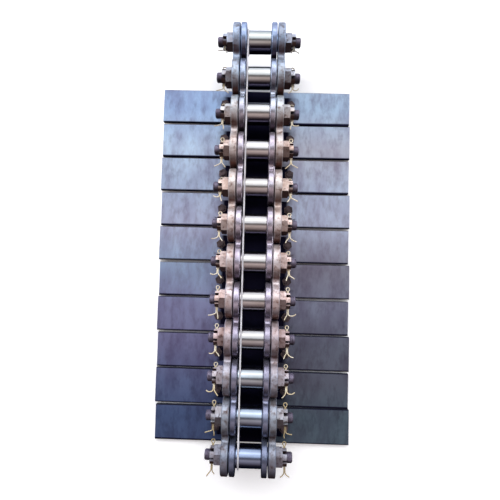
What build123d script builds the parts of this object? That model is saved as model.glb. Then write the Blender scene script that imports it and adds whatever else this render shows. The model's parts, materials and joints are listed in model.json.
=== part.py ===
from build123d import *
import math
import os

# Heavy roller conveyor chain with a steel slat across each link.
# Frame: +X along the pins, +Y along the chain towards pin 1, +Z up from the
# slats' undersides.  The origin is at the middle of the length, on the floor.

# ---------------------------------------------------------------- the chain
pitch = 76.2                # pin centre to pin centre (3 inch)
pin_count = 12

roller_diameter = 44.45     # 1.75 inch
inner_width = 50.8          # between the inner plates
roller_side_clearance = 0.3
roller_edge = 1.2
bush_diameter = 33.0
pin_diameter = 23.8
running_clearance = 0.08    # radial, pin in bush and bush in roller

# ---------------------------------------------------------- the link plates
lobe_radius = 37.2
waist_half_height = 17.0
collar_gap = 1.8            # end collar to the neighbouring inner plate
inner_plate_thickness = 11.0
outer_plate_thickness = 14.0
plate_gap = 2.4             # between an inner and an outer plate
bush_gap = 0.5              # bush end to the outer plate
plate_edge = 1.4            # chamfer round the plates' rims

# ------------------------------------------------- the lugs under the plates
seat_depth = 55.0           # pin axis down to the slat's upper face
lug_width = 38.0            # along the chain
lug_reach = 90.0            # outermost edge of the lug, from the middle
lug_thickness = 8.0
lug_bend = 6.0              # inner radius between web and lug
lug_corner = 9.0

# ----------------------------------------------------------------- the slats
slat_length = 410.0
slat_thickness = 9.0
slat_gap = 4.0              # between neighbouring slats
slat_edge = 0.8
bolt_spacing = 142.0        # between a slat's two bolts
bolt_diameter = 10.0
bolt_head_diameter = 19.0
bolt_nut_across_flats = 17.0
bolt_nut_height = 8.0
bolt_end = 4.0              # bolt end above its nut
bolt_clearance = 0.1

# Each slat was bolted up by hand: its shift along X and its turn in degrees.
slat_fit = {
    2: (-4.0, -0.40), 3: (-2.5, 0.10), 4: (-3.5, -0.15), 5: (-0.5, 0.20), 6: (-2.0, -0.10),
    7: (1.0, 0.25), 8: (-0.5, -0.15), 9: (2.5, 0.10), 10: (1.5, -0.20), 11: (4.0, 0.25),
}

# ------------------------------------------- threaded pin ends, nuts, cotters
plate_seat_diameter = 22.0  # pin shank where the outer plate sits
plate_seat_short = 0.5      # shank stops short of the plate's face, under the nut
stud_diameter = 20.0
stud_end = 11.0             # stud beyond its nut
stud_chamfer = 1.8
nut_across_flats = 36.0
nut_hexagon_height = 14.0
nut_crown_diameter = 33.0
nut_slot_depth = 8.0
nut_slot_width = 6.5
nut_slots = 6
thread_clearance = 0.1
cotter_wire = 2.2
cotter_clearance = 0.1
cotter_eye_radius = 3.4     # to the middle of the wire
cotter_straight = 3.0       # straight wire past the nut before the bend
cotter_leg = 18.0           # bent end of a leg

# How far each pin is turned about its own axis, in degrees: nut and cotter turn with it.
pin_turn = {1: 150, 2: 166, 3: 158, 4: 171, 5: 146, 6: 162,
            7: 152, 8: 168, 9: 160, 10: 149, 11: 170, 12: 157}
# How far the two legs of each pin's cotters are bent, outwards and inwards, in degrees.
leg_bends = {1: (55, 30), 2: (75, 35), 3: (70, 25), 4: (50, 40), 5: (65, 20), 6: (40, 35),
             7: (60, 30), 8: (70, 25), 9: (45, 40), 10: (60, 35), 11: (75, 20), 12: (50, 40)}

# -------------------------------------------------------------- the tie cord
cord_diameter = 3.5
cord_gap = 0.3              # cord to roller
cord_first_x = -22.3        # over roller 1
cord_last_x = -19.5         # over the last roller
cord_wrap = 325.0           # degrees round each end roller, back to a knot on the straight run
knot_diameter = 5.2

# ------------------------------------------------------------ worked-out sizes
axis_height = slat_thickness + seat_depth
inner_face = inner_width / 2
inner_back = inner_face + inner_plate_thickness
outer_face = inner_back + plate_gap
outer_back = outer_face + outer_plate_thickness
bush_bore_radius = pin_diameter / 2 + running_clearance
roller_bore_radius = bush_diameter / 2 + running_clearance
roller_length = inner_width - 2 * roller_side_clearance
bush_length = 2 * (outer_face - bush_gap)
nut_height = nut_hexagon_height + nut_slot_depth
stud_tip = outer_back + nut_height + stud_end
cotter_height = nut_hexagon_height + nut_slot_depth / 2    # above the outer plate
cotter_hole_radius = cotter_wire + cotter_clearance
slat_width = pitch - slat_gap
collar_radius = pitch - lobe_radius - collar_gap
waist_radius = (pitch**2 / 4 + waist_half_height**2 - lobe_radius**2) / (
    2 * (lobe_radius - waist_half_height))
last_link = pin_count - 1
first_slat_link = 2


def pin_y(pin):
    """Y of a pin: pin 1 is at the +Y end."""
    return ((pin_count + 1) / 2 - pin) * pitch


def link_y(link):
    """Y of a link's middle: link n joins pins n and n + 1."""
    return (pin_y(link) + pin_y(link + 1)) / 2


def pin_centre(pin):
    """The middle of a pin."""
    return (0, pin_y(pin), axis_height)


def pin_end(pin, side):
    """Plane on the outer plate at one end of a pin: z out along the pin, x along its cotter."""
    turn = math.radians(pin_turn[pin])
    return Plane(
        origin=(side * outer_back, pin_y(pin), axis_height),
        x_dir=(0, math.cos(turn), math.sin(turn)),
        z_dir=(side, 0, 0),
    )


def side_plane(x, y):
    """A plane across the pins at x, with its first axis along the chain."""
    return Plane(origin=(x, y, axis_height), x_dir=(0, 1, 0), z_dir=(1, 0, 0))


# ------------------------------------------------------------ the link plates
def plate_body(face_x, thickness, hole_diameter, link):
    """One plate: a figure of eight with a waist of arcs tangent to both round lobes."""
    centre_height = waist_half_height + waist_radius
    share = lobe_radius / (lobe_radius + waist_radius)
    touch_y = pitch / 2 * (1 - share)
    touch_z = centre_height * share
    tip = pitch / 2 + lobe_radius
    with BuildPart() as plate:
        with BuildSketch(side_plane(face_x, link_y(link))):
            with BuildLine():
                ThreePointArc((touch_y, touch_z), (tip, 0), (touch_y, -touch_z))
                ThreePointArc((touch_y, -touch_z), (0, -waist_half_height), (-touch_y, -touch_z))
                ThreePointArc((-touch_y, -touch_z), (-tip, 0), (-touch_y, touch_z))
                ThreePointArc((-touch_y, touch_z), (0, waist_half_height), (touch_y, touch_z))
            make_face()
        extrude(amount=thickness)
        chamfer(faces().filter_by(Axis.X).edges(), plate_edge)
        with BuildSketch(side_plane(face_x, link_y(link))):
            with Locations((-pitch / 2, 0), (pitch / 2, 0)):
                Circle(hole_diameter / 2)
        extrude(amount=thickness, mode=Mode.SUBTRACT)
    return plate.part


def lug(face_x, thickness, link):
    """Web down from the plate's waist, bent out into a lug that the slat bolts to."""
    back_x = face_x + thickness
    lug_top = slat_thickness + lug_thickness
    web_top = axis_height - waist_half_height + plate_edge
    with BuildPart() as bracket:
        with BuildSketch(Plane.XZ.offset(-link_y(link) - lug_width / 2)):
            with BuildLine():
                Polyline((face_x, web_top), (face_x, slat_thickness), (lug_reach, slat_thickness),
                         (lug_reach, lug_top), (back_x, lug_top), (back_x, web_top), close=True)
            make_face()
        extrude(amount=lug_width)
        bends = edges().filter_by(Axis.Y)
        fillet(bends.filter_by_position(Axis.X, back_x, back_x)
               .filter_by_position(Axis.Z, lug_top, lug_top), lug_bend)
        fillet(bends.filter_by_position(Axis.X, face_x, face_x)
               .filter_by_position(Axis.Z, slat_thickness, slat_thickness), lug_bend / 2)
        fillet(edges().filter_by(Axis.Z).filter_by_position(Axis.X, lug_reach, lug_reach), lug_corner)
        with Locations((bolt_spacing / 2, link_y(link), slat_thickness)):
            Cylinder(bolt_diameter / 2 + bolt_clearance, 3 * lug_thickness, mode=Mode.SUBTRACT)
    return bracket.part


def make_plates(label, face_x, thickness, hole_diameter, link):
    """The pair of plates of one link, mirrored across the chain."""
    with BuildPart() as plates:
        add(plate_body(face_x, thickness, hole_diameter, link))
        if link >= first_slat_link:
            add(lug(face_x, thickness, link))
        mirror(about=Plane.YZ)
    plates.part.label = label
    export_step(plates.part, f"parts/{label}.step")


# ------------------------------------------------------------ round the pins
def make_bushes(link):
    """Bushes pressed into an inner link's plates, standing out a little on both sides."""
    with BuildPart() as bushes:
        for pin in (link, link + 1):
            with BuildSketch(side_plane(-bush_length / 2, pin_y(pin))):
                Circle(bush_diameter / 2)
                Circle(bush_bore_radius, mode=Mode.SUBTRACT)
        extrude(amount=bush_length)
    bushes.part.label = f"bushes_{link:02d}"
    export_step(bushes.part, f"parts/bushes_{link:02d}.step")


def make_roller(pin):
    """The roller that the sprocket's teeth push on."""
    with BuildPart() as roller:
        with BuildSketch(side_plane(-roller_length / 2, pin_y(pin))):
            Circle(roller_diameter / 2)
        extrude(amount=roller_length)
        chamfer(edges().filter_by(GeomType.CIRCLE), roller_edge)
        with BuildSketch(side_plane(-roller_length / 2, pin_y(pin))):
            Circle(roller_bore_radius)
        extrude(amount=roller_length, mode=Mode.SUBTRACT)
    roller.part.label = f"roller_{pin:02d}"
    export_step(roller.part, f"parts/roller_{pin:02d}.step")


def make_end_collar(pin):
    """At an open end: two discs on a bush, in place of the next inner link."""
    with BuildPart() as collar:
        with BuildSketch(side_plane(inner_face, pin_y(pin))):
            Circle(collar_radius)
        extrude(amount=inner_plate_thickness)
        chamfer(edges().filter_by(GeomType.CIRCLE), plate_edge)
        mirror(about=Plane.YZ)
        with BuildSketch(side_plane(-bush_length / 2, pin_y(pin))):
            Circle(bush_diameter / 2)
        extrude(amount=bush_length)
        with BuildSketch(side_plane(-bush_length / 2, pin_y(pin))):
            Circle(bush_bore_radius)
        extrude(amount=bush_length, mode=Mode.SUBTRACT)
    collar.part.label = f"end_collar_{pin:02d}"
    export_step(collar.part, f"parts/end_collar_{pin:02d}.step")


def pin_section():
    """Half of a pin's length section: shank, plate seats, studs with chamfered tips."""
    seat_end = outer_back - plate_seat_short
    with BuildSketch() as section:
        with BuildLine():
            Polyline(
                (0, 0),
                (0, pin_diameter / 2),
                (outer_face, pin_diameter / 2),
                (outer_face, plate_seat_diameter / 2),
                (seat_end, plate_seat_diameter / 2),
                (seat_end, stud_diameter / 2),
                (stud_tip - stud_chamfer, stud_diameter / 2),
                (stud_tip, stud_diameter / 2 - stud_chamfer),
                (stud_tip, 0),
                close=True,
            )
        make_face()
        mirror(about=Plane.YZ)
    return section.sketch


def make_pins(link):
    """Both pins of an outer link, with cross holes for the cotters."""
    with BuildPart() as pins:
        for pin in (link, link + 1):
            with BuildSketch(Plane(origin=pin_centre(pin), x_dir=(1, 0, 0), z_dir=(0, -1, 0))):
                add(pin_section())
            revolve(axis=Axis(pin_centre(pin), (1, 0, 0)))
        for pin in (link, link + 1):
            for side in (-1, 1):
                with Locations(pin_end(pin, side).offset(cotter_height).location):
                    Cylinder(cotter_hole_radius, 2 * stud_diameter, rotation=(0, 90, 0), mode=Mode.SUBTRACT)
    pins.part.label = f"pins_{link:02d}"
    export_step(pins.part, f"parts/pins_{link:02d}.step")


# ------------------------------------------------------- castle nuts, cotters
def nut_corner_section(across_flats, height):
    """Half section of the double cone that rounds off a hexagon's corners."""
    flat = across_flats / 2
    corner = across_flats / math.sqrt(3)
    drop = (corner - flat) * math.tan(math.radians(30))
    with BuildSketch() as section:
        with BuildLine():
            Polyline((0, 0), (flat, 0), (corner, drop), (corner, height - drop), (flat, height), (0, height),
                     close=True)
        make_face()
    return section.sketch


with BuildPart() as castle_nut:
    # Seat at z = 0, slots upwards, one slot along X.
    with BuildSketch():
        RegularPolygon(nut_across_flats / 2, 6, major_radius=False, rotation=30)
    extrude(amount=nut_hexagon_height)
    with BuildSketch(Plane.XZ):
        add(nut_corner_section(nut_across_flats, nut_hexagon_height))
    revolve(axis=Axis.Z, mode=Mode.INTERSECT)
    with BuildSketch(Plane.XY.offset(nut_hexagon_height)):
        Circle(nut_crown_diameter / 2)
    extrude(amount=nut_slot_depth)
    with BuildSketch(Plane.XY.offset(nut_hexagon_height)):
        with PolarLocations(0, nut_slots // 2, angular_range=180):
            Rectangle(nut_across_flats, nut_slot_width)
    extrude(amount=nut_slot_depth, mode=Mode.SUBTRACT)
    Hole(stud_diameter / 2 + thread_clearance)


def cotter(bend_out, bend_in):
    """A cotter along X at cotter_height: two legs of six-sided wire, an eye at the -X end.

    The outer leg is bent away from the plate and the inner leg towards it.
    """
    half = cotter_wire / 2 + cotter_clearance / 4
    neck = -nut_across_flats / 2 - cotter_wire
    bend_x = nut_across_flats / math.sqrt(3) + cotter_wire + cotter_straight
    with BuildPart() as wire:
        for side, bend in ((1, math.radians(bend_out)), (-1, math.radians(bend_in))):
            z = cotter_height + side * half
            tip = (bend_x + cotter_leg * math.cos(bend), z + side * cotter_leg * math.sin(bend))
            with BuildLine(Plane(origin=(0, 0, 0), x_dir=(1, 0, 0), z_dir=(0, -1, 0))) as leg:
                Polyline((neck, z), (bend_x, z), tip)
            with BuildSketch(Plane(origin=leg.line @ 0, x_dir=(0, 1, 0), z_dir=leg.line % 0)):
                RegularPolygon(cotter_wire / 2, 6, rotation=30)
            sweep(path=leg.line, transition=Transition.RIGHT)
        eye_centre = neck - cotter_eye_radius
        with BuildSketch(Plane(origin=(eye_centre, 0, cotter_height), x_dir=(1, 0, 0), z_dir=(0, 0, 1))):
            with Locations((cotter_eye_radius, 0)):
                RegularPolygon(cotter_wire / 2, 6, rotation=30)
        revolve(axis=Axis((eye_centre, 0, cotter_height), (0, 1, 0)))
    return wire.part


def make_nuts(link):
    """The four castle nuts of an outer link."""
    with BuildPart() as nuts:
        for pin in (link, link + 1):
            with Locations(pin_end(pin, -1).location, pin_end(pin, 1).location):
                add(castle_nut.part)
    nuts.part.label = f"castle_nuts_{link:02d}"
    export_step(nuts.part, f"parts/castle_nuts_{link:02d}.step")


def make_cotters(link):
    """The four cotter pins of an outer link, through the nuts' slots and the studs."""
    shapes = {pin: cotter(*leg_bends[pin]) for pin in (link, link + 1)}
    with BuildPart() as cotters:
        for pin, shape in shapes.items():
            with Locations(pin_end(pin, -1).location, pin_end(pin, 1).location):
                add(shape)
    cotters.part.label = f"cotter_pins_{link:02d}"
    export_step(cotters.part, f"parts/cotter_pins_{link:02d}.step")


# ----------------------------------------------------------------- the slats
def bolt_section():
    """Half section of a slat bolt: flush countersunk head and shank."""
    shank = bolt_diameter / 2
    head = bolt_head_diameter / 2
    top = slat_thickness + lug_thickness + bolt_nut_height + bolt_end
    with BuildSketch() as section:
        with BuildLine():
            Polyline((0, 0), (head, 0), (shank, head - shank), (shank, top), (0, top), close=True)
        make_face()
    return section.sketch


def make_slat(link):
    """A slat with its two countersunk bolts and their nuts on the lugs."""
    shift, turn = slat_fit[link]
    along = (math.cos(math.radians(turn)), math.sin(math.radians(turn)), 0)
    middle = link_y(link)
    with BuildPart() as slat:
        with BuildSketch(Plane(origin=(shift, middle, 0), x_dir=along, z_dir=(0, 0, 1))):
            Rectangle(slat_length, slat_width)
        extrude(amount=slat_thickness)
        chamfer(faces().sort_by(Axis.Z)[-1].edges(), slat_edge)
        for side in (-1, 1):
            bolt_x = side * bolt_spacing / 2
            with Locations(Plane(origin=(bolt_x, middle, 0), z_dir=(0, 0, -1)).location):
                CounterSinkHole(bolt_diameter / 2 + bolt_clearance, bolt_head_diameter / 2 + bolt_clearance,
                                depth=slat_thickness, counter_sink_angle=90)
        for side in (-1, 1):
            bolt_x = side * bolt_spacing / 2
            with BuildSketch(Plane(origin=(bolt_x, middle, 0), x_dir=(1, 0, 0), z_dir=(0, -1, 0))):
                add(bolt_section())
            revolve(axis=Axis((bolt_x, middle, 0), (0, 0, 1)))
            with BuildSketch(Plane(origin=(bolt_x, middle, slat_thickness + lug_thickness))):
                RegularPolygon(bolt_nut_across_flats / 2, 6, major_radius=False, rotation=7 * link)
                Circle(bolt_diameter / 2 + bolt_clearance, mode=Mode.SUBTRACT)
            extrude(amount=bolt_nut_height)
    slat.part.label = f"slat_{link:02d}"
    export_step(slat.part, f"parts/slat_{link:02d}.step")


# -------------------------------------------------------------- the tie cord
def make_tie_cord():
    """A taut cord over all the rollers, looped round the two end ones and knotted."""
    first = Vector(cord_first_x, pin_y(1), axis_height)
    last = Vector(cord_last_x, pin_y(pin_count), axis_height)
    along = (first - last).normalized()
    run = (first - last).length
    wrap_radius = roller_diameter / 2 + cord_gap + cord_diameter / 2
    flat = Plane(origin=last, x_dir=along, z_dir=along.cross(Vector(0, 0, 1)))
    knot_radius = roller_diameter / 2 + cord_gap + knot_diameter / 2
    knot_x = knot_radius * math.cos(math.radians(90 + cord_wrap))
    knot_z = knot_radius * math.sin(math.radians(90 + cord_wrap))
    with BuildPart() as cord:
        with BuildLine(flat) as route:
            CenterArc((0, 0), wrap_radius, 90 + cord_wrap, -cord_wrap)
            Line((0, wrap_radius), (run, wrap_radius))
            CenterArc((run, 0), wrap_radius, 90, -cord_wrap)
        with BuildSketch(Plane(origin=route.line @ 0, z_dir=route.line % 0)):
            Circle(cord_diameter / 2)
        sweep(path=route.line)
        with Locations(flat.from_local_coords(Vector(knot_x, knot_z, 0)),
                       flat.from_local_coords(Vector(run - knot_x, knot_z, 0))):
            Sphere(knot_diameter / 2)
    length = sum(edge.length for edge in route.line.edges())
    print(f"tie cord: run {run:.1f}, loop radius {wrap_radius:.2f}, length {length:.1f}")
    print(f"tie cord: volume {cord.part.volume:.0f}, "
          f"section times length {math.pi * cord_diameter**2 / 4 * length:.0f}")
    cord.part.label = "tie_cord"
    export_step(cord.part, "parts/tie_cord.step")


# --------------------------------------------------------------- the assembly
os.makedirs("parts", exist_ok=True)

for link in range(1, last_link + 1):
    if link % 2:
        make_plates(f"outer_plates_{link:02d}", outer_face, outer_plate_thickness, plate_seat_diameter, link)
        make_pins(link)
        make_nuts(link)
        make_cotters(link)
    else:
        make_plates(f"inner_plates_{link:02d}", inner_face, inner_plate_thickness, bush_diameter, link)
        make_bushes(link)
    if link >= first_slat_link:
        make_slat(link)

for pin in range(1, pin_count + 1):
    make_roller(pin)

make_end_collar(1)
make_end_collar(pin_count)
make_tie_cord()
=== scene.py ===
# %% [markdown]
# # A slat conveyor chain, dressed
#
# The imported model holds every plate, pin, nut and slat at its real size.  This notebook gives them
# their finish, and models the few things that a solid modeller leaves plain: the screw threads, the
# split pins of folded wire and the twisted cord that ties the rollers.

# %% Load the frame
import json
import math
import random

import bpy
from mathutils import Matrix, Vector


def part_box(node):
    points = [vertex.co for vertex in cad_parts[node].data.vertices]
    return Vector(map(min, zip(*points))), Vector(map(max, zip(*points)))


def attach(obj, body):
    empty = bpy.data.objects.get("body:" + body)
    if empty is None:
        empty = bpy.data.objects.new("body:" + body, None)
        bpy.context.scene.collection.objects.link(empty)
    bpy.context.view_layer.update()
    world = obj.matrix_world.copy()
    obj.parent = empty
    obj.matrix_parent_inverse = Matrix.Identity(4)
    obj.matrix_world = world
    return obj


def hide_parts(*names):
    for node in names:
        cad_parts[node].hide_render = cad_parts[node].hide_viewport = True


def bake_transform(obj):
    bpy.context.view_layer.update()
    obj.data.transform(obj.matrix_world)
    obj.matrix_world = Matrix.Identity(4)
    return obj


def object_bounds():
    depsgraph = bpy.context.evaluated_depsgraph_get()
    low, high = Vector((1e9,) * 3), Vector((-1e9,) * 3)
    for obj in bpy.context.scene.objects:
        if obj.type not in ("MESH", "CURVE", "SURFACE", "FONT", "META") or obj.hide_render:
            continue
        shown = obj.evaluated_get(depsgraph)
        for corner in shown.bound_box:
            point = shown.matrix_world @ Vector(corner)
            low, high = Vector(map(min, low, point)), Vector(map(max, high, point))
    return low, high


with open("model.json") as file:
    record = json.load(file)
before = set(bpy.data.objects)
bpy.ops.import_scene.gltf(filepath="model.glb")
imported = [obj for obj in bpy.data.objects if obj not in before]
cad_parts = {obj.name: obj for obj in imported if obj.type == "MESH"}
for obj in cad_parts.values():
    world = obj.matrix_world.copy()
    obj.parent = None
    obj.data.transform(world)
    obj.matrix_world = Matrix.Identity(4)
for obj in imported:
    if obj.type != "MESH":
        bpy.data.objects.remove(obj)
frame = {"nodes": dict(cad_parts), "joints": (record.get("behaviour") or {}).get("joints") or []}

cad_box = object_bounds()
nodes = frame["nodes"]
print("CAD box, metres:", cad_box)

# %% [markdown]
# ## Reading the chain's own places
#
# Each joint of the frame carries the point it turns about, and its name ends in the number of its
# pin.  So the pitch, the height of the pins and every link's middle can be read from the joints
# instead of being typed in.  The first link carries no slat, so its box ends at the plates' faces.

# %% Pins and links
MM = 0.001
PIN_COUNT = 12
pin_at = {int(joint["name"][-2:]): Vector(joint["pos_m"]) for joint in frame["joints"]}

PITCH = pin_at[1].y - pin_at[2].y
AXIS_Z = pin_at[1].z
OUTER_LINKS = range(1, PIN_COUNT, 2)
SLAT_LINKS = range(2, PIN_COUNT)
PLATE_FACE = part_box("outer_plates_01")[1].x
NUT_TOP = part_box("castle_nuts_01")[1].x
STUD_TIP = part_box("pins_01")[1].x


def body_of_link(link):
    """The name of the body that a link's pieces ride on."""
    return f"link_{link:02d}"


def link_middle(link):
    """Y of a link's middle."""
    return (pin_at[link].y + pin_at[link + 1].y) / 2


print(f"pitch {PITCH / MM:.1f} mm, plate face {PLATE_FACE / MM:.1f}, nut top {NUT_TOP / MM:.1f}, "
      f"tip {STUD_TIP / MM:.1f}")

# %% [markdown]
# ## The camera comes first
#
# The chain is seen from straight above and from close by, about ten pitches away, so the rollers
# stand out and the slats fall back.  The camera leans a few degrees, which makes the far end
# narrower and tips the chain in the frame.

# %% Camera
CAMERA_PLACE = Vector((0.0114, -0.0533, 0.8307))
CAMERA_TURN = tuple(math.radians(angle) for angle in (3.0, 1.34, 1.56))
CAMERA_LENS = 27.31
CAMERA_SENSOR = 36.0
CAMERA_NEAREST = 10 * MM

bpy.ops.object.camera_add(location=CAMERA_PLACE, rotation=CAMERA_TURN)
camera = bpy.context.object
camera.data.lens = CAMERA_LENS
camera.data.sensor_width = CAMERA_SENSOR
camera.data.clip_start = CAMERA_NEAREST
bpy.context.scene.camera = camera
print(f"camera {(CAMERA_PLACE.z - AXIS_Z) / PITCH:.1f} pitches above the pins")

# %% [markdown]
# ## Small tools for shader nodes
#
# A node tree is a sum written with boxes and wires, and it takes many lines when every wire has its
# own.  With these tools, each node is one call, and each value that goes in may be a number, a colour
# or another node's socket.  Colours are named as a paint chart would give them, from 0 to 255.

# %% Node tools
# A mix node has sockets for numbers and vectors before the ones for colours.
MIX_SHARE, MIX_FIRST, MIX_SECOND, MIX_COLOUR = 0, 6, 7, 2


def chart(red, green, blue):
    """A colour from a 0 to 255 chart, as the shader's linear values."""
    def linear(value):
        share = value / 255
        return share / 12.92 if share <= 0.04045 else ((share + 0.055) / 1.055) ** 2.4
    return (linear(red), linear(green), linear(blue), 1.0)


def feed(tree, socket, value):
    """Give a socket its value: a wire from another socket, or a number or colour of its own."""
    if isinstance(value, bpy.types.NodeSocket):
        tree.links.new(value, socket)
    else:
        socket.default_value = value


def calculate(tree, operation, *values):
    """The result of a maths node."""
    node = tree.nodes.new("ShaderNodeMath")
    node.operation = operation
    for socket, value in zip(node.inputs, values):
        feed(tree, socket, value)
    return node.outputs["Value"]


def ramp_between(tree, source, low, high, start=0.0, end=1.0):
    """A value that goes from start to end as the source goes from low to high."""
    node = tree.nodes.new("ShaderNodeMapRange")
    values = {"Value": source, "From Min": low, "From Max": high, "To Min": start, "To Max": end}
    for name, value in values.items():
        feed(tree, node.inputs[name], value)
    return node.outputs["Result"]


def mix_colour(tree, share, first, second, blend="MIX"):
    """Two colours mixed by a share, or multiplied."""
    node = tree.nodes.new("ShaderNodeMix")
    node.data_type = "RGBA"
    node.blend_type = blend
    for index, value in ((MIX_SHARE, share), (MIX_FIRST, first), (MIX_SECOND, second)):
        feed(tree, node.inputs[index], value)
    return node.outputs[MIX_COLOUR]


def colour_ramp(tree, share, stops):
    """A colour picked by a share of 0 to 1; stops are pairs of a position and a linear colour."""
    node = tree.nodes.new("ShaderNodeValToRGB")
    elements = node.color_ramp.elements
    while len(elements) < len(stops):
        elements.new(0.5)
    for stop, (position, colour) in zip(elements, stops):
        stop.position = position
        stop.color = (*colour, 1)
    tree.links.new(share, node.inputs["Fac"])
    return node.outputs["Color"]


def axis_of(tree, vector, axis):
    """The X, Y or Z of a vector."""
    node = tree.nodes.new("ShaderNodeSeparateXYZ")
    tree.links.new(vector, node.inputs["Vector"])
    return node.outputs[axis]


def facing(tree, axis):
    """How far the surface faces along an axis, from -1 to 1."""
    return axis_of(tree, tree.nodes.new("ShaderNodeNewGeometry").outputs["Normal"], axis)


def object_place(tree):
    """The place on the object, in metres."""
    return tree.nodes.new("ShaderNodeTexCoord").outputs["Object"]


def new_material(name):
    """A material with its node tree and its shader."""
    material = bpy.data.materials.new(name)
    material.use_nodes = True
    return material, material.node_tree, material.node_tree.nodes["Principled BSDF"]


def raise_surface(tree, shader, height, strength, distance):
    """Give a shader a bump from a height."""
    bump = tree.nodes.new("ShaderNodeBump")
    bump.inputs["Strength"].default_value = strength
    bump.inputs["Distance"].default_value = distance
    tree.links.new(height, bump.inputs["Height"])
    tree.links.new(bump.outputs["Normal"], shader.inputs["Normal"])


print(f"middle grey of the chart: {chart(128, 128, 128)[0]:.3f}")

# %% [markdown]
# ## A studio with a bright side and a dim side
#
# A polished roller shows whatever stands round it, so the surroundings are part of its look.  Here
# they are a soft studio: a wide white wall beyond the chain's far end with a narrow strip of glare
# in it, a dark gap overhead, and a dim warm wall on the near side.  Painted as bands on the world,
# they give each roller a white band, a dark line and a tan band.  The angle of a direction round
# the X axis, from straight up towards the far end, picks its band.  The camera itself sees a plain
# pale backdrop instead.

# %% World
# Each band has its angle in degrees, its colour and its strength.
BANDS = (
    (-180, (16, 16, 20), 0.5), (-100, (30, 34, 52), 0.5), (-76, (44, 38, 46), 0.8),
    (-62, (107, 92, 94), 0.9), (-46, (151, 136, 138), 1.0), (-20, (208, 192, 190), 1.0),
    (-7, (132, 124, 126), 0.8), (5, (132, 128, 132), 0.8), (13, (240, 244, 252), 1.1),
    (32, (244, 247, 252), 1.5), (46, (250, 250, 252), 2.5), (60, (244, 247, 252), 1.5),
    (88, (226, 233, 250), 1.05), (120, (190, 200, 226), 0.9), (180, (16, 16, 20), 0.5),
)
BACKDROP_COLOUR = chart(238, 239, 242)

world = bpy.data.worlds.new("studio")
bpy.context.scene.world = world
world.use_nodes = True
sky = world.node_tree
direction = sky.nodes.new("ShaderNodeTexCoord").outputs["Generated"]
sky_angle = calculate(sky, "ARCTAN2", axis_of(sky, direction, "Y"), axis_of(sky, direction, "Z"))
sky_bands = colour_ramp(sky, ramp_between(sky, sky_angle, -math.pi, math.pi), [
    ((angle + 180) / 360, [value * strength for value in chart(*colour)[:3]])
    for angle, colour, strength in BANDS
])
sky.links.new(sky_bands, sky.nodes["Background"].inputs["Color"])
backdrop = sky.nodes.new("ShaderNodeBackground")
backdrop.inputs["Color"].default_value = BACKDROP_COLOUR
sky_choice = sky.nodes.new("ShaderNodeMixShader")
sky_sources = (sky.nodes.new("ShaderNodeLightPath").outputs["Is Camera Ray"],
               sky.nodes["Background"].outputs["Background"], backdrop.outputs["Background"])
for socket, source in zip(sky_choice.inputs, sky_sources):
    sky.links.new(source, socket)
sky.links.new(sky_choice.outputs["Shader"], sky.nodes["World Output"].inputs["Surface"])
bpy.context.scene.view_settings.view_transform = "Standard"
print("bands round the studio:", len(BANDS))

# %% [markdown]
# A large soft box hangs in front of the bright wall and throws the main light.  It comes in low
# enough that the narrow gaps between the slats stay dark.  The metal doesn't mirror it: the strip
# of glare in the wall stands for it.  Two weak boxes at the sides lift the shadows on the nuts.

# %% Soft boxes
# Each has its place, its width and height in metres, its power in watts and its colour.
SOFT_BOXES = {
    "main_soft_box": ((-0.3, 2.1, 1.9), (3.4, 1.7), 62, (0.95, 0.97, 1.0)),
    "left_soft_box": ((-2.6, 0.5, 1.7), (2.2, 2.2), 9, (0.93, 0.96, 1.0)),
    "right_soft_box": ((2.6, 0.3, 1.7), (2.2, 2.2), 7, (1.0, 0.97, 0.94)),
}
for name, (place, size, power, colour) in SOFT_BOXES.items():
    bpy.ops.object.light_add(type="AREA", location=place)
    light = bpy.context.object
    light.name = name
    light.data.shape = "RECTANGLE"
    light.data.size, light.data.size_y = size
    light.data.energy = power
    light.data.color = colour
    light.rotation_euler = (-Vector(place)).to_track_quat("-Z", "Y").to_euler()
bpy.data.objects["main_soft_box"].visible_glossy = False
print("soft boxes:", ", ".join(SOFT_BOXES))

# %% [markdown]
# The floor is pale and plain.  It glows a little, except under the slats, so that it stays as pale
# at the near end.  The metal doesn't mirror the floor either, so the rollers stay dark underneath.

# %% Floor
FLOOR_SIZE = 16
FLOOR_DROP = 0.5 * MM
FLOOR_COLOUR = (0.93, 0.93, 0.93, 1)
FLOOR_ROUGHNESS = 0.9
FLOOR_GLOW = 0.25
SHADE_REACH = {"X": 0.19, "Y": 0.37}
SHADE_EDGE = 0.02

bpy.ops.mesh.primitive_plane_add(size=FLOOR_SIZE, location=(0, 0, cad_box[0].z - FLOOR_DROP))
floor = bpy.context.object
floor.name = "studio_floor"
floor_paint, floor_tree, floor_shader = new_material("floor paint")
floor_shader.inputs["Base Color"].default_value = FLOOR_COLOUR
floor_shader.inputs["Roughness"].default_value = FLOOR_ROUGHNESS
floor_shader.inputs["Emission Color"].default_value = (1, 1, 1, 1)
floor_place = object_place(floor_tree)
past_shade = []
for axis, reach in SHADE_REACH.items():
    off_middle = calculate(floor_tree, "ABSOLUTE", axis_of(floor_tree, floor_place, axis))
    past_shade.append(calculate(floor_tree, "SUBTRACT", off_middle, reach))
floor_glow = ramp_between(
    floor_tree, calculate(floor_tree, "MAXIMUM", *past_shade), 0, SHADE_EDGE, end=FLOOR_GLOW)
floor_tree.links.new(floor_glow, floor_shader.inputs["Emission Strength"])
floor.data.materials.append(floor_paint)
floor.visible_glossy = False
print("floor:", floor.name, "at", floor.location.z)

# %% [markdown]
# ## Node groups for the effects
#
# An effect that several steels share is a node group with its own inputs, built once.  The first is
# a noise cut to soft patches: all of it under Low is clear, all of it over High is covered.

# %% The blotch group
NOISE_ROUGHNESS = 0.62


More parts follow.
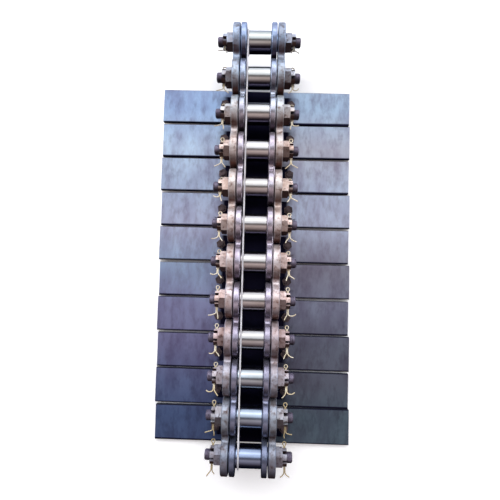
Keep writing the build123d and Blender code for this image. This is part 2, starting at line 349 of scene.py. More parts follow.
def new_group(name, inputs, output="Mask", output_kind="NodeSocketFloat"):
    """A node group, its inputs by name and the socket of its one output.

    inputs are names with a number to start from, or None for a vector.
    """
    group = bpy.data.node_groups.new(name, "ShaderNodeTree")
    for socket, value in inputs.items():
        kind = "NodeSocketVector" if value is None else "NodeSocketFloat"
        made = group.interface.new_socket(socket, in_out="INPUT", socket_type=kind)
        if value is not None:
            made.default_value = value
    group.interface.new_socket(output, in_out="OUTPUT", socket_type=output_kind)
    group_in = group.nodes.new("NodeGroupInput")
    group_out = group.nodes.new("NodeGroupOutput")
    return group, group_in.outputs, group_out.inputs[output]


def placed(tree, group, **values):
    """The output of a node group placed in a tree; an underscore stands for a space in a name."""
    node = tree.nodes.new("ShaderNodeGroup")
    node.node_tree = group
    for name, value in values.items():
        feed(tree, node.inputs[name.replace("_", " ")], value)
    return node.outputs[0]


blotches, blotch_in, blotch_mask = new_group(
    "blotches", {"Vector": None, "Scale": 20.0, "Detail": 6.0, "Low": 0.4, "High": 0.6})
noise = blotches.nodes.new("ShaderNodeTexNoise")
noise.inputs["Roughness"].default_value = NOISE_ROUGHNESS
for socket in ("Vector", "Scale", "Detail"):
    blotches.links.new(blotch_in[socket], noise.inputs[socket])
blotches.links.new(
    ramp_between(blotches, noise.outputs["Fac"], blotch_in["Low"], blotch_in["High"]), blotch_mask)
print("group:", blotches.name)

# %% [markdown]
# The light isn't the same all along the chain, so a painted light and shade is multiplied into the
# steel: blue-grey at the far end, brighter and a little brown in the middle and dark at the near end.
# A group turns a place's Y into that colour, with one row of colours for each side of the chain.

# %% The painted light groups
CHAIN_REACH = 0.46
SIDE_REACH = 0.05


def painted_light_group(name, left_stops, right_stops):
    """A group that turns a place into a colour; stops are pairs of Y and a linear colour."""
    group, group_in, painted_light = new_group(name, {"Vector": None}, "Painted Light", "NodeSocketColor")
    share, side = (
        ramp_between(group, axis_of(group, group_in["Vector"], axis), -reach, reach)
        for axis, reach in (("Y", CHAIN_REACH), ("X", SIDE_REACH)))
    rows = []
    for stops in (left_stops, right_stops):
        row = [((y + CHAIN_REACH) / (2 * CHAIN_REACH), colour) for y, colour in stops]
        rows.append(colour_ramp(group, share, row))
    group.links.new(mix_colour(group, side, *rows), painted_light)
    return group


# Rows of painted light and shade by Y, as linear colours that the steel is multiplied by.
LINK_PAINTED_LIGHT = (
    (-0.45, (0.30, 0.34, 0.46)), (-0.35, (0.46, 0.56, 0.66)), (-0.27, (0.60, 0.66, 0.78)),
    (-0.19, (0.66, 0.60, 0.64)), (-0.10, (1.0, 0.94, 0.96)), (0.12, (1.0, 0.95, 0.90)),
    (0.22, (0.98, 0.94, 0.92)), (0.29, (0.76, 0.90, 0.98)), (0.40, (0.54, 0.72, 0.96)),
)
INNER_PAINTED_LIGHT = (
    (-0.45, (0.26, 0.31, 0.42)), (-0.34, (0.36, 0.40, 0.52)), (-0.20, (0.58, 0.55, 0.64)),
    (-0.10, (0.86, 0.79, 0.87)), (0.12, (0.96, 0.87, 0.90)), (0.22, (0.94, 0.86, 0.90)),
    (0.29, (0.82, 0.88, 0.94)), (0.40, (0.56, 0.70, 0.92)),
)
ROLLER_PAINTED_LIGHT = (
    (-0.45, (0.38, 0.48, 0.76)), (-0.36, (0.58, 0.71, 0.92)), (-0.27, (0.78, 0.90, 1.0)),
    (-0.16, (0.98, 0.97, 0.98)), (0.20, (1.0, 0.98, 0.97)), (0.30, (0.98, 1.0, 1.0)),
    (0.42, (0.92, 1.0, 1.0)),
)
WIRE_PAINTED_LIGHT = (
    (-0.42, (0.50, 0.43, 0.30)), (-0.34, (0.72, 0.66, 0.52)), (-0.24, (0.95, 0.93, 0.90)),
    (0.18, (1.0, 0.98, 0.96)), (0.31, (0.60, 0.57, 0.54)), (0.42, (0.26, 0.26, 0.27)),
)
LEFT_SLAT_PAINTED_LIGHT = (
    (-0.36, (0.16, 0.23, 0.36)), (-0.29, (0.28, 0.33, 0.47)), (-0.21, (0.46, 0.43, 0.57)),
    (-0.13, (0.69, 0.67, 0.81)), (-0.05, (0.83, 0.97, 1.0)), (0.04, (1.0, 0.96, 0.93)),
    (0.13, (0.77, 0.82, 0.80)), (0.21, (0.86, 0.95, 0.88)), (0.30, (0.55, 0.68, 0.75)),
)
RIGHT_SLAT_PAINTED_LIGHT = (
    (-0.36, (0.21, 0.28, 0.27)), (-0.29, (0.26, 0.27, 0.27)), (-0.21, (0.33, 0.34, 0.34)),
    (-0.13, (0.55, 0.54, 0.55)), (-0.05, (0.57, 0.51, 0.48)), (0.04, (1.0, 0.98, 0.92)),
    (0.13, (0.84, 0.84, 0.78)), (0.21, (0.75, 0.68, 0.59)), (0.30, (0.61, 0.71, 0.69)),
)
link_painted_light = painted_light_group("link tone", LINK_PAINTED_LIGHT, LINK_PAINTED_LIGHT)
inner_painted_light = painted_light_group("inner link tone", INNER_PAINTED_LIGHT, INNER_PAINTED_LIGHT)
roller_painted_light = painted_light_group("roller tone", ROLLER_PAINTED_LIGHT, ROLLER_PAINTED_LIGHT)
wire_painted_light = painted_light_group("wire tone", WIRE_PAINTED_LIGHT, WIRE_PAINTED_LIGHT)
slat_painted_light = painted_light_group("slat tone", LEFT_SLAT_PAINTED_LIGHT, RIGHT_SLAT_PAINTED_LIGHT)
painted_lights = (link_painted_light, inner_painted_light, roller_painted_light, wire_painted_light, slat_painted_light)
print("tones:", ", ".join(painted_light.name for painted_light in painted_lights))

# %% [markdown]
# Handling wears the chamfer between a plate's face and its rim.  The rim faces along Y and Z and the
# flat face along X, so whatever leans half towards X is chamfer.  Stains break the wear up.

# %% The worn bevel group
CHAMFER_LEAN = 0.707
CHAMFER_SPREAD = 0.12

bevel_wear, wear_in, wear_mask = new_group("bevel wear", {"Amount": 1.0, "Break Up": 0.5})
chamfer = calculate(
    bevel_wear, "COMPARE", calculate(bevel_wear, "ABSOLUTE", facing(bevel_wear, "X")),
    CHAMFER_LEAN, CHAMFER_SPREAD)
unbroken = calculate(bevel_wear, "SUBTRACT", 1.0, wear_in["Break Up"])
worn_share = calculate(bevel_wear, "MULTIPLY", chamfer, unbroken)
bevel_wear.links.new(calculate(bevel_wear, "MULTIPLY", worn_share, wear_in["Amount"]), wear_mask)
print("group:", bevel_wear.name)

# %% [markdown]
# The slats get a painted shade where the rollers and the gaps keep the light off: a strip under the
# rollers, the sheared edges, and a narrow painted shadow line along each slat's near edge.  The slats
# stand a pitch apart and meet half a pitch from the chain's middle, so the remainder of Y, counted in
# pitches, finds that line.

# %% The slat shade group
SHADED_STRIP_HALF_WIDTH = 36 * MM
SHADED_STRIP_FADE = (-6 * MM, 2 * MM)
SHADED_EDGE_LEAN = (0.45, 0.65)
SEAM_SHADOW_LINE = (0.078, 0.052)
HALF_PITCH = 0.5

slat_shade_group, slat_shade_in, slat_shade_mask = new_group(
    "slat grime", {"Vector": None, "Half Width": SHADED_STRIP_HALF_WIDTH, "Edges": 1.0})
off_middle = calculate(slat_shade_group, "ABSOLUTE", axis_of(slat_shade_group, slat_shade_in["Vector"], "X"))
# Painted shade in a strip under the rollers.
shaded_strip = ramp_between(
    slat_shade_group, calculate(slat_shade_group, "SUBTRACT", slat_shade_in["Half Width"], off_middle), *SHADED_STRIP_FADE)
# Painted shade on the edges that face along the chain, down into the gaps.
shaded_edge = ramp_between(slat_shade_group, calculate(slat_shade_group, "ABSOLUTE", facing(slat_shade_group, "Y")), *SHADED_EDGE_LEAN)
pitches = calculate(
    slat_shade_group, "MULTIPLY_ADD", axis_of(slat_shade_group, slat_shade_in["Vector"], "Y"), 1 / PITCH, HALF_PITCH)
# A painted shadow line along each slat's near edge.
seam_shadow = ramp_between(slat_shade_group, calculate(slat_shade_group, "FRACT", pitches), *SEAM_SHADOW_LINE)
edge_and_seam_shade = calculate(
    slat_shade_group, "MULTIPLY", calculate(slat_shade_group, "MAXIMUM", shaded_edge, seam_shadow), slat_shade_in["Edges"])
slat_shade_group.links.new(calculate(slat_shade_group, "MAXIMUM", shaded_strip, edge_and_seam_shade), slat_shade_mask)
print("group:", slat_shade_group.name)

# %% [markdown]
# The sides that face the chain's near end, away from the main light, get a painted shade.  The mask
# grows as the surface turns from one lean to another.

# %% The side shade group
side_shade_group, side_shade_in, side_shade_mask = new_group("lee side", {"From": 0.1, "To": -0.7})
# Painted shade, growing as the surface turns to face the near end.
side_shade_share = ramp_between(side_shade_group, facing(side_shade_group, "Y"), side_shade_in["From"], side_shade_in["To"])
side_shade_group.links.new(side_shade_share, side_shade_mask)
print("group:", side_shade_group.name)

# %% [markdown]
# ## One recipe for every steel
#
# All the metal here is steel in different states: ground, forged, rusted or covered in mill scale.
# The recipe is the same.  A base colour, a second colour in large patches, a stain in small ones, and
# a roughness and a fine bump that follow the same patches.  Worn bevels, a painted light and shade
# along the chain, a painted shade on the slats and a painted shade on the sides that face the near end
# come on top, for the steels that have them.

# %% Steel recipe
LARGE_PATCHES = dict(Detail=5, Low=0.40, High=0.62)
STAIN_DETAIL = 8
FINE_GRAIN = dict(Scale=700, Detail=4, Low=0.3, High=0.7)
GRAIN_SHARE = 0.5
GRAIN_HEIGHT = 0.6 * MM
WEAR_AMOUNT = 0.35


def steel(name, base, patch, stain, metallic, smooth, rough, stretch=(1, 1, 1), patch_scale=28,
          stain_scale=90, stain_low=0.52, stain_high=0.68, grain=0.12, worn=None, painted_light=None,
          painted_shade=None, painted_shade_width=SHADED_STRIP_HALF_WIDTH, painted_shade_edges=1.0, side_shade=None, side_shade_range=(0.1, -0.7)):
    """A weathered steel; worn and the two painted shades are colours, and the painted light is a
    group.
    """
    material, tree, shader = new_material(name)
    place = object_place(tree)
    pull = tree.nodes.new("ShaderNodeMapping")
    pull.inputs["Scale"].default_value = stretch
    tree.links.new(place, pull.inputs["Vector"])
    where = pull.outputs["Vector"]
    large = placed(tree, blotches, Vector=where, Scale=patch_scale, **LARGE_PATCHES)
    small = placed(tree, blotches, Vector=where, Scale=stain_scale, Detail=STAIN_DETAIL,
                   Low=stain_low, High=stain_high)
    colour = mix_colour(tree, large, base, patch)
    colour = mix_colour(tree, small, colour, stain)
    if worn is not None:
        wear = placed(tree, bevel_wear, Amount=WEAR_AMOUNT, Break_Up=small)
        colour = mix_colour(tree, wear, colour, worn)
    # A painted light and shade along the chain.
    if painted_light is not None:
        colour = mix_colour(tree, 1.0, colour, placed(tree, painted_light, Vector=place), blend="MULTIPLY")
    # A painted shade on the slats, reaching further on lugs and studs.
    if painted_shade is not None:
        shade_share = placed(tree, slat_shade_group, Vector=place, Half_Width=painted_shade_width, Edges=painted_shade_edges)
        colour = mix_colour(tree, shade_share, colour, painted_shade)
    # A painted shade on the sides that face the near end.
    if side_shade is not None:
        side_shade_from, side_shade_to = side_shade_range
        colour = mix_colour(tree, placed(tree, side_shade_group, From=side_shade_from, To=side_shade_to), colour, side_shade)
    tree.links.new(colour, shader.inputs["Base Color"])
    tree.links.new(ramp_between(tree, small, 0, 1, smooth, rough), shader.inputs["Roughness"])
    shader.inputs["Metallic"].default_value = metallic
    fine = placed(tree, blotches, Vector=where, **FINE_GRAIN)
    height = calculate(tree, "MULTIPLY_ADD", fine, GRAIN_SHARE, small)
    raise_surface(tree, shader, height, grain, GRAIN_HEIGHT)
    return material


print("groups for the steels:", ", ".join(group.name for group in bpy.data.node_groups))

# %% [markdown]
# ## The finishes
#
# The slats are blue mill scale, and their lugs the same with a painted shade out to the bolts.  The
# plates are oiled forgings with worn bevels, the rollers are ground bright, and the nuts and studs
# have browned.  Nuts, studs, plates and rollers get a painted shade on the sides that face the near
# end, and the studs a near-black painted shade up into the nuts.  The split pins are plated wire.
# Every imported node but the cord's gets its finish by the kind that its name begins with.

# %% The finishes
SLAT_COLOURS = (chart(198, 209, 238), chart(175, 178, 209), chart(133, 125, 151))
SLAT_LOOK = dict(
    metallic=0.80, smooth=0.34, rough=0.46, stretch=(1.5, 0.6, 1), patch_scale=16, stain_scale=55,
    stain_low=0.46, stain_high=0.86, grain=0.08, painted_light=slat_painted_light, painted_shade=chart(16, 13, 42))
# How far out the painted shade reaches: on the lugs out to the bolts, on the studs up into the nuts.
LUG_SHADE_WIDTH = 68 * MM
STUD_SHADE_WIDTH = 72.5 * MM

slat_scale = steel("blue mill scale", *SLAT_COLOURS, **SLAT_LOOK)
lug_scale = steel("lug with painted shade", *SLAT_COLOURS, **SLAT_LOOK, painted_shade_width=LUG_SHADE_WIDTH)
outer_forging = steel(
    "oiled outer plate", chart(226, 221, 222), chart(200, 184, 178), chart(118, 82, 66),
    metallic=0.70, smooth=0.36, rough=0.52, patch_scale=40, stain_scale=110, stain_low=0.49,
    stain_high=0.72, grain=0.22, worn=chart(225, 226, 232), painted_light=link_painted_light,
    side_shade=chart(74, 42, 34), side_shade_range=(-0.26, -0.84))
inner_forging = steel(
    "oiled inner plate", chart(228, 229, 238), chart(190, 184, 194), chart(112, 94, 98),
    metallic=0.84, smooth=0.22, rough=0.36, patch_scale=40, stain_scale=70, stain_low=0.56,
    stain_high=0.76, grain=0.15, worn=chart(225, 228, 236), painted_light=inner_painted_light,
    side_shade=chart(58, 46, 54), side_shade_range=(-0.30, -0.85))
ground_roller = steel(
    "ground roller", chart(224, 222, 222), chart(208, 204, 200), chart(150, 138, 130),
    metallic=1.0, smooth=0.18, rough=0.28, stretch=(0.3, 1, 1), patch_scale=40, stain_scale=120,
    stain_low=0.64, stain_high=0.90, grain=0.03, painted_light=roller_painted_light,
    side_shade=chart(74, 70, 92), side_shade_range=(-0.52, -0.76))
bush_steel = steel(
    "bush", chart(160, 158, 156), chart(130, 122, 116), chart(80, 70, 66),
    metallic=1.0, smooth=0.25, rough=0.4)
rusted_nut = steel(
    "browned nut", chart(240, 226, 222), chart(208, 184, 174), chart(98, 62, 50),
    metallic=0.25, smooth=0.38, rough=0.56, patch_scale=55, stain_scale=150, stain_low=0.52,
    stain_high=0.70, grain=0.3, painted_light=link_painted_light, side_shade=chart(54, 30, 26), side_shade_range=(0.1, -0.45))
browned_stud = steel(
    "browned stud", chart(120, 112, 132), chart(92, 84, 100), chart(54, 46, 56),
    metallic=0.45, smooth=0.40, rough=0.58, patch_scale=70, stain_scale=180, grain=0.25,
    side_shade=chart(44, 34, 44), side_shade_range=(0.0, -0.8),
    painted_shade=chart(12, 9, 12), painted_shade_width=STUD_SHADE_WIDTH, painted_shade_edges=0.0)
dark_bolt_steel = steel(
    "dark bolt steel", chart(104, 88, 90), chart(70, 58, 62), chart(32, 24, 28),
    metallic=0.40, smooth=0.42, rough=0.60, patch_scale=60, stain_scale=130, grain=0.3)
plated_wire = steel(
    "plated wire", chart(240, 234, 216), chart(222, 206, 172), chart(160, 132, 96),
    metallic=0.35, smooth=0.30, rough=0.45, patch_scale=120, stain_scale=300, stain_low=0.6,
    stain_high=0.8, grain=0.08, painted_light=wire_painted_light)

finish_of = {
    "slat": slat_scale, "outer_plates": outer_forging, "inner_plates": inner_forging,
    "end_collar": inner_forging, "roller": ground_roller, "bushes": bush_steel,
    "castle_nuts": rusted_nut, "pins": browned_stud, "cotter_pins": plated_wire,
}
finished = 0
for node_name, node in nodes.items():
    kind = node_name.rsplit("_", 1)[0]
    if kind in finish_of:
        node.data.materials.clear()
        node.data.materials.append(finish_of[kind])
        finished += 1
print("nodes with a finish:", finished, "of", len(nodes))

# %% [markdown]
# ## Bolts and lugs
#
# A slat's node also holds its two bolts and their nuts, and a plate's node holds the lugs that carry
# the slats.  These faces are found by where they lie: a bolt's are above the slat or near its centre,
# and a lug's are low down and outside the plate.  The bolts get a darker steel, and the lugs are
# painted as the slats are, with their painted shade reaching out to the bolts.

# %% Bolts and lugs
SLAT_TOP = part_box("inner_plates_06")[0].z
LUG_TOP = SLAT_TOP + 8.4 * MM
BOLT_HEAD_RADIUS = 9.7 * MM
BOLT_X = 71 * MM
INNER_PLATE_FACE = 36.4 * MM
MARGIN = 0.3 * MM


def second_finish(node, material, belongs):
    """Give the faces of a node that belong to a smaller part their own finish, and count them."""
    node.data.materials.append(material)
    count = 0
    for face in node.data.polygons:
        if belongs(face.center):
            face.material_index = 1
            count += 1
    return count


bolt_faces = lug_faces = 0
for link in SLAT_LINKS:
    bolt_at = Vector((BOLT_X, link_middle(link)))
    bolt_faces += second_finish(
        nodes[f"slat_{link:02d}"], dark_bolt_steel,
        lambda spot: spot.z > SLAT_TOP + MARGIN
        or (Vector((abs(spot.x), spot.y)) - bolt_at).length < BOLT_HEAD_RADIUS)
    side, plate_face = ("outer", PLATE_FACE) if link in OUTER_LINKS else ("inner", INNER_PLATE_FACE)
    lug_faces += second_finish(
        nodes[f"{side}_plates_{link:02d}"], lug_scale,
        lambda spot: spot.z < LUG_TOP and abs(spot.x) > plate_face + MARGIN)
print("faces of bolts and nuts:", bolt_faces, "and of lugs:", lug_faces)

# %% [markdown]
# ## The tie cord
#
# A thin white cord lies pulled tight over all the rollers, and is looped and knotted round the two
# end ones.  Real cord like this is three strands laid round each other, and the light catches every
# strand, so the strands are modelled.  The cord's route is one smooth spline with a few points: one
# at each end of the straight run, and twelve to a turn round an end roller.

# %% Cord route
CORD_FIRST_X = -22.3 * MM
CORD_LAST_X = -19.5 * MM
CORD_RADIUS = 1.75 * MM
CORD_GAP = 0.3 * MM
POINTS_PER_TURN = 12
LOOP_POINTS = 11
RUN_START = PITCH / 4
SPLINE_STEPS = 24
roller_low, roller_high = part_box("roller_01")
ROLLER_RADIUS = (roller_high.z - roller_low.z) / 2
LOOP_RADIUS = ROLLER_RADIUS + CORD_GAP + CORD_RADIUS
CORD_Z = AXIS_Z + LOOP_RADIUS


def cord_x(y):
    """X of the cord's centre line where it passes a place along the chain."""
    share = (pin_at[1].y - y) / (pin_at[1].y - pin_at[PIN_COUNT].y)
    return CORD_FIRST_X + share * (CORD_LAST_X - CORD_FIRST_X)


def loop_points(pin, way):
    """Route points round an end roller, from its top outwards.

    way is 1 at the +Y end and -1 at the other.
    """
    step = math.tau / POINTS_PER_TURN
    reach = LOOP_RADIUS / math.cos(step / 2)
    points = []
    for index in range(LOOP_POINTS):
        angle = math.pi / 2 - (index + 0.5) * step
        y = pin_at[pin].y + way * math.cos(angle) * reach
        points.append((cord_x(pin_at[pin].y), y, AXIS_Z + math.sin(angle) * reach))
    return points


def route_line(points):
    """The points that Blender gives along a smooth spline through a route."""
    curve = bpy.data.curves.new("cord_route", "CURVE")
    curve.dimensions = "3D"
    curve.resolution_u = SPLINE_STEPS
    spline = curve.splines.new("NURBS")
    spline.points.add(len(points) - 1)
    for spot, point in zip(spline.points, points):
        spot.co = (*point, 1)
    spline.order_u = 3
    spline.use_endpoint_u = True
    holder = bpy.data.objects.new("cord_route", curve)
    mesh = bpy.data.meshes.new_from_object(holder)
    line = [vertex.co.copy() for vertex in mesh.vertices]
    bpy.data.objects.remove(holder)
    bpy.data.meshes.remove(mesh)
    return line


route = loop_points(1, 1)[::-1]
for y in (pin_at[1].y - RUN_START, pin_at[PIN_COUNT].y + RUN_START):
    route.append((cord_x(y), y, CORD_Z))
route += loop_points(PIN_COUNT, -1)
cord_line = route_line(route)
cord_length = sum((two - one).length for one, two in zip(cord_line, cord_line[1:]))
print(f"cord: {len(route)} route points, {len(cord_line)} line points, {cord_length / MM:.0f} mm long")

# %% [markdown]
# The strands turn round the centre line once in every lay, as in laid rope, and each is a little
# thicker than half the cord, so that neighbours press into each other and leave no gap.  They need
# points at even steps, so the line is measured first.

# %% Strands
STRAND_COUNT = 3
STRAND_LAY = 9.0 * MM
STRAND_CENTRE = 0.48 * CORD_RADIUS
STRAND_RADIUS = 0.53 * CORD_RADIUS
LINE_STEP = 1.4 * MM
SIDEWAYS = Vector((1, 0, 0))


def evenly(line, step):
    """The same line with points a step apart, and how far along each one lies."""
    lengths = [0.0]
    for one, two in zip(line, line[1:]):
        lengths.append(lengths[-1] + (two - one).length)
    count = round(lengths[-1] / step)
    points, marks, index = [], [], 0
    for number in range(count + 1):
        mark = lengths[-1] * number / count
        while index < len(line) - 2 and lengths[index + 1] < mark:
            index += 1
        share = (mark - lengths[index]) / (lengths[index + 1] - lengths[index])
        points.append(line[index].lerp(line[index + 1], share))
        marks.append(mark)
    return points, marks


centre_line, centre_marks = evenly(cord_line, LINE_STEP)


def strand_spots(first, last, part):
    """The spots of one strand's centre between two places on the cord's line."""
    spots = []
    for index in range(first, last + 1):
        ahead = centre_line[min(index + 1, len(centre_line) - 1)]
        behind = centre_line[max(index - 1, 0)]
        along = (ahead - behind).normalized()
        side = (SIDEWAYS - SIDEWAYS.dot(along) * along).normalized()
        up = along.cross(side)
        angle = (centre_marks[index] / STRAND_LAY + part / STRAND_COUNT) * math.tau
        off_centre = (math.cos(angle) * side + math.sin(angle) * up) * STRAND_CENTRE
        spots.append(centre_line[index] + off_centre)
    return spots


print(f"turns of the strands: {centre_marks[-1] / STRAND_LAY:.0f}")

# %% [markdown]
# ## Wire and joining
#
# Strands, split pins, threads and knots are all round tubes along a path.  A tube starts as a curve
# with a bevel and is made a mesh.  The tubes of one piece are then joined, and the piece gets its
# name, its finish and its material slot.

# %% Wire and joining
WIRE_SIDES = 8
SMOOTH_ANGLE = math.radians(50)


def wire_tube(name, points, radius, sides=WIRE_SIDES):
    """A closed round tube along points: a curve with a bevel, made a mesh."""
    curve = bpy.data.curves.new(name, "CURVE")
    curve.dimensions = "3D"
    curve.bevel_depth = radius
    # A bevel has four sides, and two more for each step of its resolution.
    curve.bevel_resolution = sides // 2 - 2
    curve.use_fill_caps = True
    line = curve.splines.new("POLY")
    line.points.add(len(points) - 1)
    for spot, point in zip(line.points, points):
        spot.co = (*point, 1)
    tube = bpy.data.objects.new(name, curve)
    bpy.context.collection.objects.link(tube)
    bpy.ops.object.select_all(action="DESELECT")
    tube.select_set(True)
    bpy.context.view_layer.objects.active = tube
    bpy.ops.object.convert(target="MESH")
    return bpy.context.object


def joined(name, parts, material):
    """Several meshes made one piece with a name, a finish and a material slot."""
    bpy.ops.object.select_all(action="DESELECT")
    for part in parts:
        part.select_set(True)
    bpy.context.view_layer.objects.active = parts[0]
    if len(parts) > 1:
        bpy.ops.object.join()
    piece = bpy.context.object
    piece.name = name
    bpy.ops.object.shade_smooth_by_angle(angle=SMOOTH_ANGLE)
    piece.data.materials.clear()
    piece.data.materials.append(material)
    return piece


print("sides of a wire:", WIRE_SIDES)

# %% [markdown]
# ## Split pins of folded wire
#
# A split pin is one length of wire, folded round an eye, pushed through the nut and the stud, with
# its two legs then bent apart by hand.  So each one is a single tube along a path: up one leg, through
# the nut, round the eye, back through the nut and down the other leg.  No two hands bend alike, so
# every leg has its own bend and curl, drawn from a seeded list.  The legs at the last pin are
# shorter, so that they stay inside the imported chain's box.

# %% Split pins
WIRE_RADIUS = 1.1 * MM
PIN_HOLE_X = PLATE_FACE + 18 * MM
EYE_NECK = -20.2 * MM
EYE_RADIUS = 3.4 * MM
EYE_CENTRE = EYE_NECK - 1.06 * EYE_RADIUS
EYE_FIRST_ANGLE = 45
EYE_SWEEP = 270
EYE_STEPS = 16
LEG_START = 26.0 * MM
LEG_STEP = 1.2 * MM
BEND_STEPS = 4
LAST_LEG_SHARE = 0.8
# The bends of the outer and the inner leg at each pin, in degrees.  Every leg differs from its bend
# by a few degrees, and has a curl in degrees and a length in millimetres from a range of its own.
LEG_BENDS = {1: (55, 30), 2: (75, 35), 3: (70, 25), 4: (50, 40), 5: (65, 20), 6: (40, 35),
             7: (60, 30), 8: (70, 25), 9: (45, 40), 10: (60, 35), 11: (75, 20), 12: (50, 40)}
BEND_SPREAD = (-10, 10)
OUTER_CURL, OUTER_LENGTH = (-10, 80), (14, 18.5)
INNER_CURL, INNER_LENGTH = (-30, 35), (12, 15.5)
LEG_SEED = 7
chance = random.Random(LEG_SEED)


def wire_way(node, pin, side):
    """The direction of a split pin's legs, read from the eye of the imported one."""
    axis = Vector((0, pin_at[pin].y, AXIS_Z))
    eye = [vertex.co for vertex in node.data.vertices
           if vertex.co.x * side > 0 and abs(vertex.co.y - axis.y) < PITCH / 2 and vertex.co.y > axis.y
           and math.hypot(vertex.co.y - axis.y, vertex.co.z - axis.z) > -EYE_NECK]
    middle = sum(eye, Vector()) / len(eye)
    return Vector((0, axis.y - middle.y, axis.z - middle.z)).normalized()


def leg_path(bend, curl, length, side):
    """Pairs of along and out for one leg: a quick bend at the nut, then a slow curl."""
    along, out, heading = LEG_START, side * WIRE_RADIUS, 0.0
    path = [(along, out)]
    steps = round(length / LEG_STEP)
    for step in range(steps):
        heading += bend / BEND_STEPS if step < BEND_STEPS else curl / (steps - BEND_STEPS)
        along += math.cos(heading) * LEG_STEP
        out += side * math.sin(heading) * LEG_STEP
        path.append((along, out))
    return path


def eye_path():
    """Pairs of along and out round the eye, from the upper leg to the lower one."""
    path = [(EYE_NECK + WIRE_RADIUS, WIRE_RADIUS)]
    for step in range(EYE_STEPS + 1):
        angle = math.radians(EYE_FIRST_ANGLE + step * EYE_SWEEP / EYE_STEPS)
        path.append((EYE_CENTRE + EYE_RADIUS * math.cos(angle), EYE_RADIUS * math.sin(angle)))
    return path + [(EYE_NECK + WIRE_RADIUS, -WIRE_RADIUS)]


def split_pin(node, pin, side):
    """One split pin: a tube along its folded path."""
    bend_out, bend_in = (math.radians(bend + chance.uniform(*BEND_SPREAD)) for bend in LEG_BENDS[pin])
    scale = (LAST_LEG_SHARE if pin == PIN_COUNT else 1) * MM
    curl_out = math.radians(chance.uniform(*OUTER_CURL))
    outer = leg_path(bend_out, curl_out, chance.uniform(*OUTER_LENGTH) * scale, 1)
    curl_in = math.radians(chance.uniform(*INNER_CURL))
    inner = leg_path(bend_in, curl_in, chance.uniform(*INNER_LENGTH) * scale, -1)
    way = wire_way(node, pin, side)
    origin = Vector((side * PIN_HOLE_X, pin_at[pin].y, AXIS_Z))
    spots = [origin + along * way + Vector((side * out, 0, 0))
             for along, out in outer[::-1] + eye_path() + inner]
    return wire_tube("split_pin", spots, WIRE_RADIUS)


for link in OUTER_LINKS:
    node_name = f"cotter_pins_{link:02d}"
    tubes = [split_pin(nodes[node_name], pin, side) for pin in (link, link + 1) for side in (-1, 1)]
    piece = joined(f"split_pins_{link:02d}", tubes, plated_wire)
    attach(piece, body_of_link(link))
    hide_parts(node_name)
print("split pins:", PIN_COUNT * 2)

# %% [markdown]
# ## Threads on the studs
#
# The end of each stud stands out of its nut, and its thread shows there.  A thread is a ridge that
# climbs one pitch in every turn, so it is a thin tube along a helix, half sunk in the stud.

# %% Threads
THREAD_PITCH = 2.5 * MM
THREAD_RIDGE = 0.8 * MM
STUD_TIP_RADIUS = 10.0 * MM
THREAD_SUNK = 0.45
THREAD_RADIUS = STUD_TIP_RADIUS - THREAD_SUNK * THREAD_RIDGE
THREAD_SIDES = 6
THREAD_STEPS = 28
THREAD_START = NUT_TOP + 1.2 * MM
THREAD_END = STUD_TIP - 2.8 * MM
THREAD_TURNS = (THREAD_END - THREAD_START) / THREAD_PITCH


def thread(pin, side):
    """The ridge of the thread on one end of a pin."""
    spots = []
    for step in range(round(THREAD_TURNS * THREAD_STEPS) + 1):
        angle = step / THREAD_STEPS * math.tau
        x = THREAD_START + step / THREAD_STEPS * THREAD_PITCH
        spots.append(Vector((side * x, pin_at[pin].y + THREAD_RADIUS * math.cos(angle),
                             AXIS_Z + side * THREAD_RADIUS * math.sin(angle))))
    return wire_tube("thread", spots, THREAD_RIDGE, THREAD_SIDES)


for link in OUTER_LINKS:
    tubes = [thread(pin, side) for pin in (link, link + 1) for side in (-1, 1)]
    piece = joined(f"stud_threads_{link:02d}", tubes, browned_stud)
    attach(piece, body_of_link(link))
print(f"threads: {PIN_COUNT * 2} of {THREAD_TURNS:.1f} turns")

# %% [markdown]
# ## White cotton
#
# The finish of the cord is dusty white cotton: rough, with a little sheen from its fibres.

# %% White cotton
DUST = dict(Scale=60, Detail=5, Low=0.35, High=0.75)
FIBRE = dict(Scale=1800, Detail=3, Low=0.3, High=0.7)
FIBRE_GRAIN = 0.3
FIBRE_HEIGHT = 0.2 * MM
COTTON_ROUGHNESS = 0.85
COTTON_SHEEN = 0.3

white_cotton, cotton_tree, cotton_shader = new_material("white cotton")
cotton_place = object_place(cotton_tree)
cotton_dust = placed(cotton_tree, blotches, Vector=cotton_place, **DUST)
cotton_colour = mix_colour(cotton_tree, cotton_dust, chart(222, 221, 226), chart(184, 180, 182))
cotton_tree.links.new(cotton_colour, cotton_shader.inputs["Base Color"])
cotton_shader.inputs["Roughness"].default_value = COTTON_ROUGHNESS
cotton_shader.inputs["Sheen Weight"].default_value = COTTON_SHEEN
cotton_fibre = placed(cotton_tree, blotches, Vector=cotton_place, **FIBRE)
raise_surface(cotton_tree, cotton_shader, cotton_fibre, FIBRE_GRAIN, FIBRE_HEIGHT)
print("finish of the cord:", white_cotton.name)

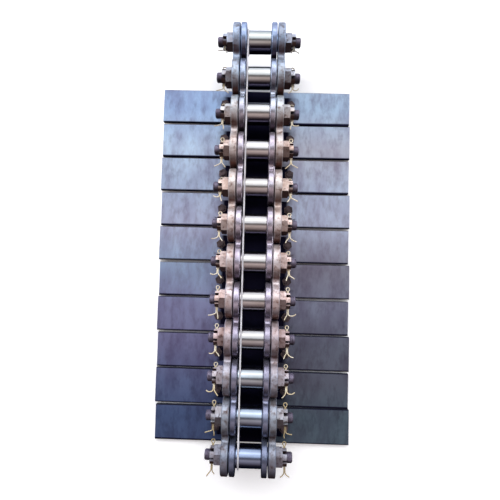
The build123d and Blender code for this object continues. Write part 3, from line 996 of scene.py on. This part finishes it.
# %% [markdown]
# ## The cord in lengths
#
# The chain bends at its pins, so the cord is made in one length for each hinge, from the middle of one
# link to the middle of the next.  The first and the last length also take in the loops.  The strands
# run on from length to length, because they all follow the same line.

# %% Cord lengths


def nearest_mark(y):
    """Where the cord's line, on its run over the rollers, is nearest to a Y."""
    return min(range(len(centre_line)),
               key=lambda index: abs(centre_line[index].y - y) + abs(centre_line[index].z - CORD_Z))


cuts = [nearest_mark(link_middle(link)) for link in SLAT_LINKS[:-1]]
cuts = [0, *cuts, len(centre_line) - 1]
for hinge, (first, last) in enumerate(zip(cuts, cuts[1:]), start=2):
    strands = [wire_tube("strand", strand_spots(first, last, part), STRAND_RADIUS)
               for part in range(STRAND_COUNT)]
    piece = joined(f"tie_cord_over_{hinge:02d}", strands, white_cotton)
    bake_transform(piece)
    if hinge == 2:
        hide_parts("tie_cord")
print("cord lengths:", len(cuts) - 1)

# %% [markdown]
# ## The knots
#
# At each end the cord is tied off in a small overhand knot.  An overhand knot is a trefoil, and a
# closed tube along that curve, pulled small, looks like one.

# %% Knots
KNOT_SIZE = 0.52 * MM
KNOT_WIRE = 0.95 * MM
KNOT_STEPS = 72
KNOT_HEIGHT = 2.6 * MM


def knot(name, cord_end, pin, link):
    """A small overhand knot, on the outside of the loop's end."""
    centre = Vector((cord_end.x, pin_at[pin].y, AXIS_Z))
    outwards = (cord_end - centre).normalized()
    middle = centre + outwards * (ROLLER_RADIUS + CORD_GAP + KNOT_HEIGHT)
    spots = []
    for step in range(KNOT_STEPS + 1):
        turn = step / KNOT_STEPS * math.tau
        trefoil = Vector((math.sin(turn) + 2 * math.sin(2 * turn),
                          math.cos(turn) - 2 * math.cos(2 * turn), -math.sin(3 * turn)))
        spots.append(middle + trefoil * KNOT_SIZE)
    piece = joined(name, [wire_tube("knot", spots, KNOT_WIRE)], white_cotton)
    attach(piece, body_of_link(link))
    return piece


knots = [knot("tie_knot_01", centre_line[0], 1, 1),
         knot("tie_knot_12", centre_line[-1], PIN_COUNT, PIN_COUNT - 1)]
print("knots:", ", ".join(piece.name for piece in knots))
